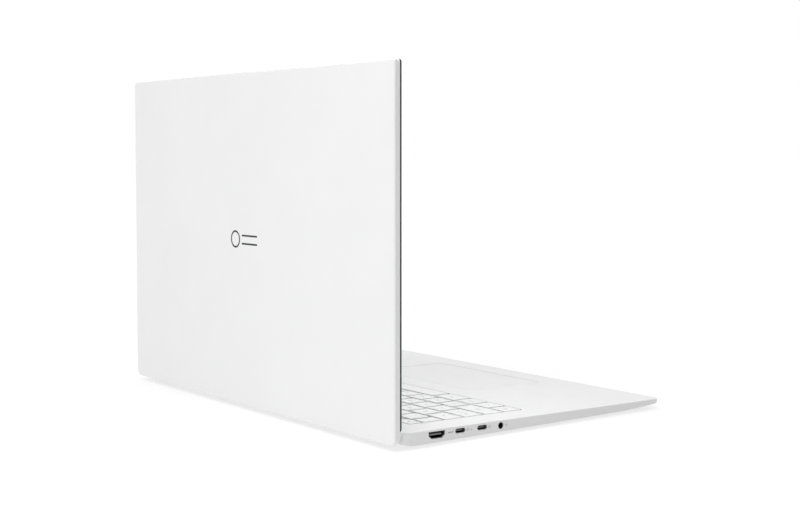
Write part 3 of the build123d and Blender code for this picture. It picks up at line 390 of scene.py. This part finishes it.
def islands(name):
    """Boxes of a node's separate solids in the deck's frame, rear ones first, then from left to right."""
    mesh = bmesh.new()
    mesh.from_mesh(nodes[name].data)
    bmesh.ops.remove_doubles(mesh, verts=mesh.verts, dist=WELD_DISTANCE)
    seen = set()
    found = [box_of(linked_points(vert, seen)) for vert in mesh.verts if vert.index not in seen]
    mesh.free()
    return sorted(found, key=lambda box: (-round(box[1].y, 3), box[0].x))


def text_mesh(words, size):
    """The words as a thin flat mesh, centred on the origin."""
    curve = bpy.data.curves.new("words", "FONT")
    curve.body = words
    curve.size = size
    curve.align_x = "CENTER"
    curve.align_y = "CENTER"
    curve.space_line = 0.95
    curve.resolution_u = 2
    curve.extrude = INK_THICK / 2
    holder = bpy.data.objects.new("words", curve)
    bpy.context.scene.collection.objects.link(holder)
    bpy.context.view_layer.update()
    evaluated = holder.evaluated_get(bpy.context.evaluated_depsgraph_get())
    mesh = bpy.data.meshes.new_from_object(evaluated)
    bpy.data.objects.remove(holder)
    bpy.data.curves.remove(curve)
    return mesh


def legend_size(words):
    """Letter height of a legend: pairs stand one over the other, words are smaller than single letters."""
    if "\n" in words:
        return PAIR_SIZE
    return LETTER_SIZE if len(words) == 1 else WORD_SIZE


def add_piece(mesh, name, material, body):
    """Turns a bmesh into a piece that rides on a body."""
    data = bpy.data.meshes.new(name)
    mesh.to_mesh(data)
    mesh.free()
    piece = bpy.data.objects.new(name, data)
    bpy.context.scene.collection.objects.link(piece)
    data.materials.append(material)
    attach(piece, body)


def add_legends(name, words_list, ink):
    """Prints a legend in the middle of each key of a node."""
    joined = bmesh.new()
    for words, (low, high) in zip(words_list, islands(name)):
        mesh = text_mesh(words, legend_size(words))
        middle = (low + high) / 2
        place = DECK_MATRIX @ Matrix.Translation((middle.x, middle.y, high.z + INK_THICK / 2))
        mesh.transform(place)
        joined.from_mesh(mesh)
        bpy.data.meshes.remove(mesh)
    add_piece(joined, f"legends_{name}", ink, nodes[name]["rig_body"])


ink = legend_ink()
for name, words_list in legends.items():
    add_legends(name, words_list, ink)


# ---------------------------------------------------------------- marks drawn as bent bars
def stroke(mesh, points, width, thick, closed=False):
    """A flat bar of the given width along points in the XY plane, with its back at z = 0."""
    count = len(points)
    rims = []
    for index, point in enumerate(points):
        before = points[(index - 1) % count] if closed or index else point
        after = points[(index + 1) % count] if closed or index < count - 1 else point
        heading = (after - before).normalized()
        across = Vector((-heading.y, heading.x, 0)) * width / 2
        corners = [point - across, point + across]
        rims.append([mesh.verts.new(p + Vector((0, 0, z))) for z in (0, thick) for p in corners])
    spans = range(count) if closed else range(count - 1)
    for index in spans:
        a, b = rims[index], rims[(index + 1) % count]
        for i, j in ((0, 1), (1, 3), (3, 2), (2, 0)):
            mesh.faces.new((a[i], a[j], b[j], b[i]))
    if not closed:
        for rim in (rims[0], rims[-1]):
            mesh.faces.new((rim[0], rim[1], rim[3], rim[2]))
    bmesh.ops.recalc_face_normals(mesh, faces=mesh.faces)


def arc(centre, radius, start, end, steps):
    """Points on a circle from one angle to another, in degrees."""
    turn = [radians(start + (end - start) * step / steps) for step in range(steps + 1)]
    return [Vector((centre[0] + radius * cos(a), centre[1] + radius * sin(a), 0)) for a in turn]


def ring(centre, radius, steps):
    """Points on a whole circle, the first not repeated."""
    return arc(centre, radius, 0, 360, steps)[:-1]


def bar(start, end):
    """The two ends of a straight bar."""
    return [Vector((*start, 0)), Vector((*end, 0))]


def centre_of(name):
    """The middle of a node's box."""
    low, high = box_of([nodes[name].matrix_world @ vert.co for vert in nodes[name].data.vertices])
    return (low + high) / 2


# Power symbol on the power key: an open ring with a bar through the opening
POWER_R = 0.0017
POWER_LINE = 0.0003
POWER_BAR = (0.0004, 0.0023)
power_low, power_high = islands("power_button")[0]
power_middle = (power_low + power_high) / 2
power_mark = bmesh.new()
stroke(power_mark, arc((0, 0), POWER_R, 120, 420, 24), POWER_LINE, INK_THICK)
stroke(power_mark, bar((0, POWER_BAR[0]), (0, POWER_BAR[1])), POWER_LINE, INK_THICK)
power_mark.transform(DECK_MATRIX @ Matrix.Translation((power_middle.x, power_middle.y, power_high.z)))
add_piece(power_mark, "power_symbol", ink, "power")

# Plain mark on the lid: a ring and two bars
MARK_LEFT = -0.0153
MARK_RIGHT = 0.0232
MARK_MIDDLE = 0.1335
MARK_R = 0.0062
MARK_LINE = 0.0014
MARK_THICK = 0.00004
MARK_BAR_UP = 0.0032
MARK_BAR_GAP = 0.0035
mark = bmesh.new()
ring_x = MARK_RIGHT - MARK_R
bar_start = -ring_x + MARK_R + MARK_BAR_GAP
stroke(mark, ring((-ring_x, 0), MARK_R, 64), MARK_LINE, MARK_THICK, closed=True)
for height in (MARK_BAR_UP, -MARK_BAR_UP):
    stroke(mark, bar((bar_start, height), (-MARK_LEFT, height)), MARK_LINE, MARK_THICK)
lid_face = Matrix(((-1, 0, 0, 0), (0, 0, 1, cad_high.y), (0, 1, 0, MARK_MIDDLE), (0, 0, 0, 1)))
mark.transform(lid_face)
add_piece(mark, "lid_mark", mark_ink(), "lid")


# Faint printed marks beside the ports: a dash by the video port, small rings by the others
DASH_LENGTH = 0.0052
DASH_LINE = 0.0009
PORT_MARK_R = 0.0008
PORT_MARK_LINE = 0.0004
PORT_MARKS = (
    ("video_port", "usb_c_port_rear", 0.585, "dash"),
    ("usb_c_port_rear", "usb_c_port_front", 0.33, "ring"),
    ("usb_c_port_front", "audio_jack", 0.39, "ring"),
    ("usb_c_port_front", "audio_jack", 1.31, "ring"),
)
port_marks = bmesh.new()
for first, second, part_way, kind in PORT_MARKS:
    spot = centre_of(first).lerp(centre_of(second), part_way)
    if kind == "dash":
        dash = bar((-spot.y - DASH_LENGTH / 2, spot.z), (-spot.y + DASH_LENGTH / 2, spot.z))
        stroke(port_marks, dash, DASH_LINE, INK_THICK)
    else:
        circle = ring((-spot.y, spot.z), PORT_MARK_R, 20)
        stroke(port_marks, circle, PORT_MARK_LINE, INK_THICK, closed=True)
port_marks.transform(Matrix(((0, 0, -1, cad_low.x), (-1, 0, 0, 0), (0, 1, 0, 0), (0, 0, 0, 1))))
add_piece(port_marks, "port_marks", ink, "base")


# ---------------------------------------------------------------- floor, light and camera
FLOOR_RADIUS = 12
FLOOR_GLOW = 0.52
CAMERA_PLACE = (-0.8955, 0.6705, 0.1986)
CAMERA_YAW = radians(-37.557)
CAMERA_PITCH = radians(-2.967)
CAMERA_LENS = 60.14


def add_floor():
    """Pale glowing light table."""
    made = Shader("floor", (0.5, 0.5, 0.5), 0.9, specular=0.1)
    made.tint(made.noise(0.3), (0.495, 0.495, 0.495), (0.505, 0.505, 0.505))
    made.set(Emission_Color=(1, 1, 1, 1), Emission_Strength=FLOOR_GLOW)
    mesh = bmesh.new()
    bmesh.ops.create_circle(mesh, cap_ends=True, segments=96, radius=FLOOR_RADIUS)
    data = bpy.data.meshes.new("floor")
    mesh.to_mesh(data)
    mesh.free()
    data.materials.append(made.material)
    floor = bpy.data.objects.new("floor", data)
    bpy.context.scene.collection.objects.link(floor)


def add_light(name, place, target, size, power, spread=180):
    """Rectangular lamp turned towards a target, unseen itself. spread is its beam in degrees."""
    lamp = bpy.data.lights.new(name, "AREA")
    lamp.spread = radians(spread)
    lamp.shape = "RECTANGLE"
    lamp.size, lamp.size_y = size
    lamp.energy = power
    holder = bpy.data.objects.new(name, lamp)
    holder.location = place
    holder.rotation_euler = (Vector(target) - Vector(place)).to_track_quat("-Z", "Y").to_euler()
    holder.visible_camera = False
    bpy.context.scene.collection.objects.link(holder)


def add_world():
    """White studio. Its light is dimmer on the computer's left and below, its background is plain white."""
    world = bpy.data.worlds.new("studio")
    world.use_nodes = True
    tree = world.node_tree
    tree.nodes["Background"].inputs["Strength"].default_value = 1.0
    direction = tree.nodes.new("ShaderNodeTexCoord").outputs["Generated"]
    dot = tree.nodes.new("ShaderNodeVectorMath")
    dot.operation = "DOT_PRODUCT"
    dot.inputs[1].default_value = Vector((1.2, 0, 1)).normalized()
    tree.links.new(direction, dot.inputs[0])
    ramp = tree.nodes.new("ShaderNodeMapRange")
    ramp.inputs["From Min"].default_value = -0.7
    ramp.inputs["From Max"].default_value = 0.7
    ramp.inputs["To Min"].default_value = 0.05
    ramp.inputs["To Max"].default_value = 1.22
    tree.links.new(dot.outputs["Value"], ramp.inputs["Value"])
    seen = tree.nodes.new("ShaderNodeLightPath").outputs["Is Camera Ray"]
    mix = tree.nodes.new("ShaderNodeMix")
    mix.data_type = "FLOAT"
    mix.inputs[3].default_value = 1.0
    tree.links.new(seen, mix.inputs[0])
    tree.links.new(ramp.outputs["Result"], mix.inputs[2])
    tree.links.new(mix.outputs[0], tree.nodes["Background"].inputs["Color"])
    bpy.context.scene.world = world


def add_camera():
    """Behind the computer and to its left, a little above the table."""
    camera = bpy.data.cameras.new("camera")
    camera.sensor_width = 36
    camera.lens = CAMERA_LENS
    camera.shift_y = -0.05
    camera.clip_start = 0.01
    camera.clip_end = 60
    holder = bpy.data.objects.new("camera", camera)
    holder.location = CAMERA_PLACE
    level = cos(CAMERA_PITCH)
    gaze = Vector((level * cos(CAMERA_YAW), level * sin(CAMERA_YAW), sin(CAMERA_PITCH)))
    holder.rotation_euler = gaze.to_track_quat("-Z", "Y").to_euler()
    bpy.context.scene.collection.objects.link(holder)
    bpy.context.scene.camera = holder


add_floor()
add_world()
add_camera()
add_light("back_softbox", (-0.4, 0.9, 0.3), (-0.12, 0.13, 0.12), (0.6, 0.6), 1.3)
add_light("top_softbox", (0.1, -0.2, 1.5), (0, 0, 0), (1.2, 1.2), 0.5)
add_light("deck_softbox", (-0.14, 0.1, 0.5), (-0.14, 0.1, 0), (0.15, 0.15), 0.09, spread=60)
bpy.context.scene.view_settings.view_transform = "Standard"
